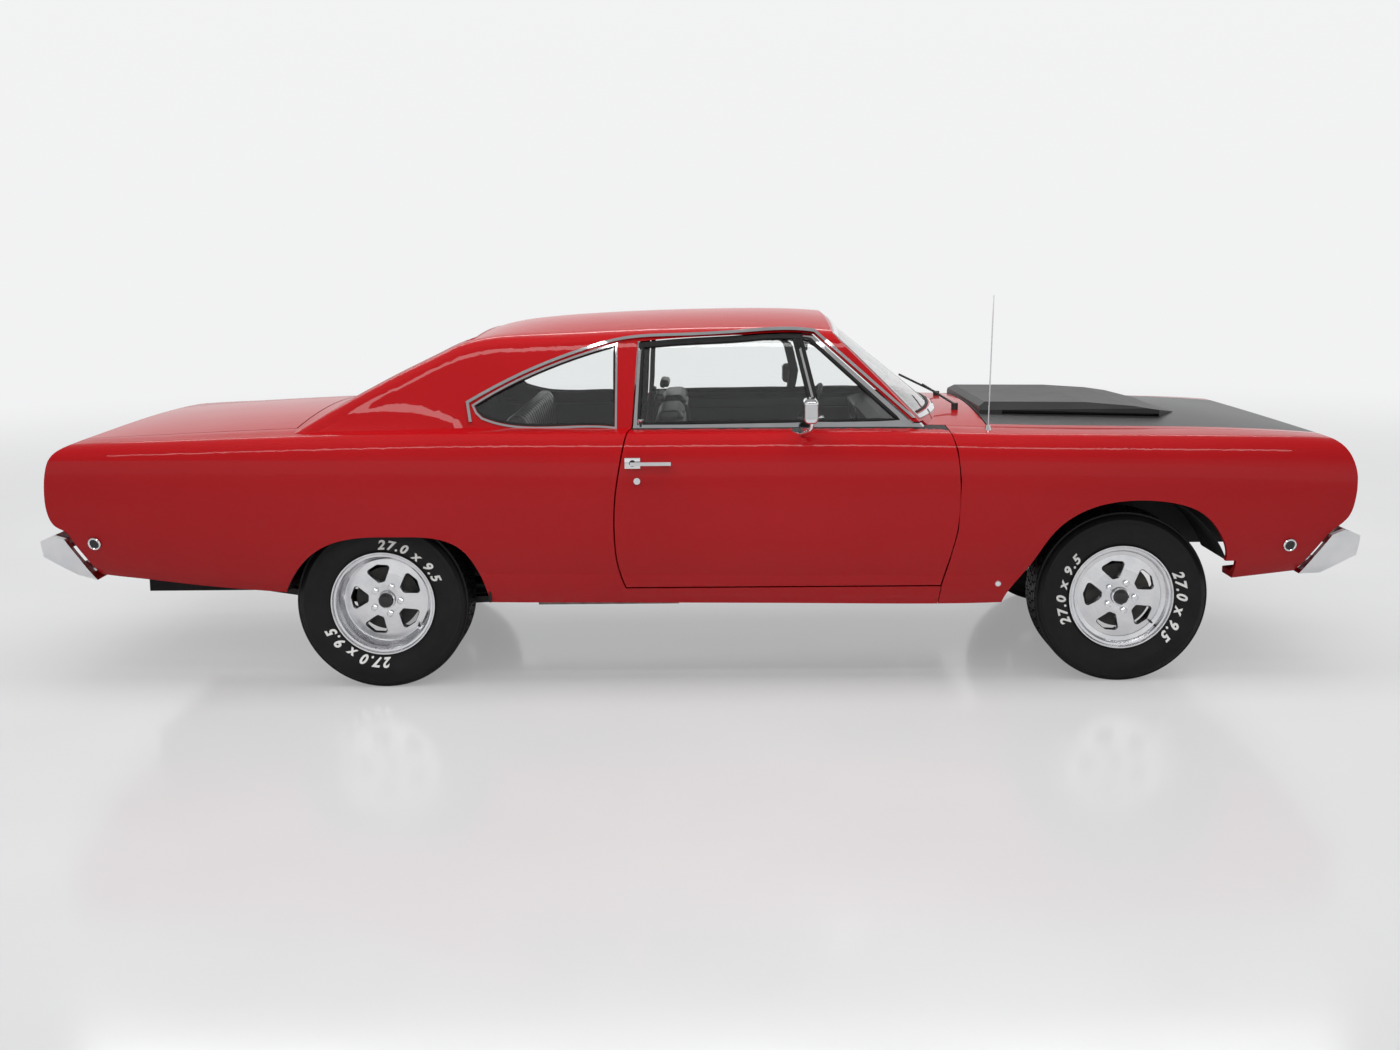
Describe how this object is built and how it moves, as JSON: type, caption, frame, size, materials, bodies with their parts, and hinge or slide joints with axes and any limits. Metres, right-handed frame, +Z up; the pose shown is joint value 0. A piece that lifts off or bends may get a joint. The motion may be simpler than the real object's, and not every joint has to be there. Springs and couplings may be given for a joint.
{
  "type": "two-door coupe car",
  "caption": "Two-door muscle coupe with spinning wheels, steering, opening doors, hood and deck lid, bucket seats, bright bumpers and raised hood vents.",
  "frame": {"origin": "centre of the car's bounding box on the ground under the tyres", "axes": "+X forward, +Y to the car's left, +Z up"},
  "size_m": [5.22, 2.068, 1.5399],
  "materials": {
    "red_paint": "glossy red clear-coated paint",
    "black_paint": "satin black paint",
    "under_paint": "matt black underbody coating",
    "bright_trim": "polished chrome",
    "alloy": "polished aluminium",
    "tyre_rubber": "black rubber",
    "window_glass": "clear tinted glass",
    "lens_clear": "clear lamp glass",
    "lens_red": "red lamp glass",
    "seat_vinyl": "black pleated vinyl",
    "cabin_plastic": "black grained plastic",
    "engine_paint": "painted cast iron",
    "gear_metal": "cast aluminium and steel",
    "axle_iron": "black painted iron",
    "pipe_steel": "dull steel"
  },
  "bodies": {
    "body": {"aerial": "bright_trim", "body_shell": "red_paint", "dashboard": "cabin_plastic", "driveline": "gear_metal", "engine": "engine_paint", "engine_bay": "under_paint", "exhaust": "pipe_steel", "fender_left": "red_paint", "fender_right": "red_paint", "fixed_glass": "window_glass", "floor_pan": "under_paint", "front_bumper": "bright_trim", "front_seats": "seat_vinyl", "front_suspension": "axle_iron", "fuel_tank": "under_paint", "grille": "black_paint", "headlamps": "lens_clear", "nose_panel": "red_paint", "rear_axle": "axle_iron", "rear_bumper": "bright_trim", "rear_seat": "seat_vinyl", "side_markers": "lens_clear", "tail_lamps": "lens_red", "window_trim": "bright_trim", "wipers": "bright_trim"},
    "deck_lid": {"deck_lid": "red_paint"},
    "door_left": {"door_left": "red_paint", "door_left_glass": "window_glass", "door_left_trim": "bright_trim"},
    "door_right": {"door_right": "red_paint", "door_right_glass": "window_glass", "door_right_trim": "bright_trim"},
    "hood": {"hood": "black_paint", "hood_scoops": "black_paint"},
    "steer_left": {"knuckle_left": "axle_iron"},
    "steer_right": {"knuckle_right": "axle_iron"},
    "wheel_front_left": {"rim_front_left": "alloy", "tyre_front_left": "tyre_rubber"},
    "wheel_front_right": {"rim_front_right": "alloy", "tyre_front_right": "tyre_rubber"},
    "wheel_rear_left": {"rim_rear_left": "alloy", "tyre_rear_left": "tyre_rubber"},
    "wheel_rear_right": {"rim_rear_right": "alloy", "tyre_rear_right": "tyre_rubber"},
    "steering_wheel": {"steering_wheel": "cabin_plastic"}
  },
  "joints": [
    {"name": "steer_right_turn", "type": "hinge", "parent": "body", "child": "steer_right", "pos_m": [1.688, -0.69, 0.3435], "axis": [0, 0, 1], "range_deg": [-30, 30]},
    {"name": "steer_left_turn", "type": "hinge", "parent": "body", "child": "steer_left", "pos_m": [1.688, 0.69, 0.3435], "axis": [0, 0, 1], "range_deg": [-30, 30]},
    {"name": "steering_wheel_turn", "type": "hinge", "parent": "body", "child": "steering_wheel", "pos_m": [0.477, 0.37, 0.925], "axis": [-0.88, 0, 0.475], "range_deg": [-480, 480]},
    {"name": "wheel_front_right_spin", "type": "hinge", "parent": "steer_right", "child": "wheel_front_right", "pos_m": [1.688, -0.755, 0.3435], "axis": [0, 1, 0], "continuous": true},
    {"name": "wheel_front_left_spin", "type": "hinge", "parent": "steer_left", "child": "wheel_front_left", "pos_m": [1.688, 0.755, 0.3435], "axis": [0, 1, 0], "continuous": true},
    {"name": "wheel_rear_right_spin", "type": "hinge", "parent": "body", "child": "wheel_rear_right", "pos_m": [-1.258, -0.752, 0.3435], "axis": [0, 1, 0], "continuous": true},
    {"name": "wheel_rear_left_spin", "type": "hinge", "parent": "body", "child": "wheel_rear_left", "pos_m": [-1.258, 0.752, 0.3435], "axis": [0, 1, 0], "continuous": true},
    {"name": "door_right_swing", "type": "hinge", "parent": "body", "child": "door_right", "pos_m": [0.987, -0.96, 0.7], "axis": [0, 0, 1], "range_deg": [0, 65]},
    {"name": "door_left_swing", "type": "hinge", "parent": "body", "child": "door_left", "pos_m": [0.987, 0.96, 0.7], "axis": [0, 0, -1], "range_deg": [0, 65]},
    {"name": "hood_lift", "type": "hinge", "parent": "body", "child": "hood", "pos_m": [1.163, 0, 1.112], "axis": [0, -1, 0], "range_deg": [0, 50]},
    {"name": "deck_lid_lift", "type": "hinge", "parent": "body", "child": "deck_lid", "pos_m": [-1.598, 0, 1.088], "axis": [0, 1, 0], "range_deg": [0, 60]}
  ],
  "couplings": [
    {"joint": "steer_left_turn", "follows": "steer_right_turn", "ratio": 1},
    {"joint": "steering_wheel_turn", "follows": "steer_right_turn", "ratio": 16}
  ]
}
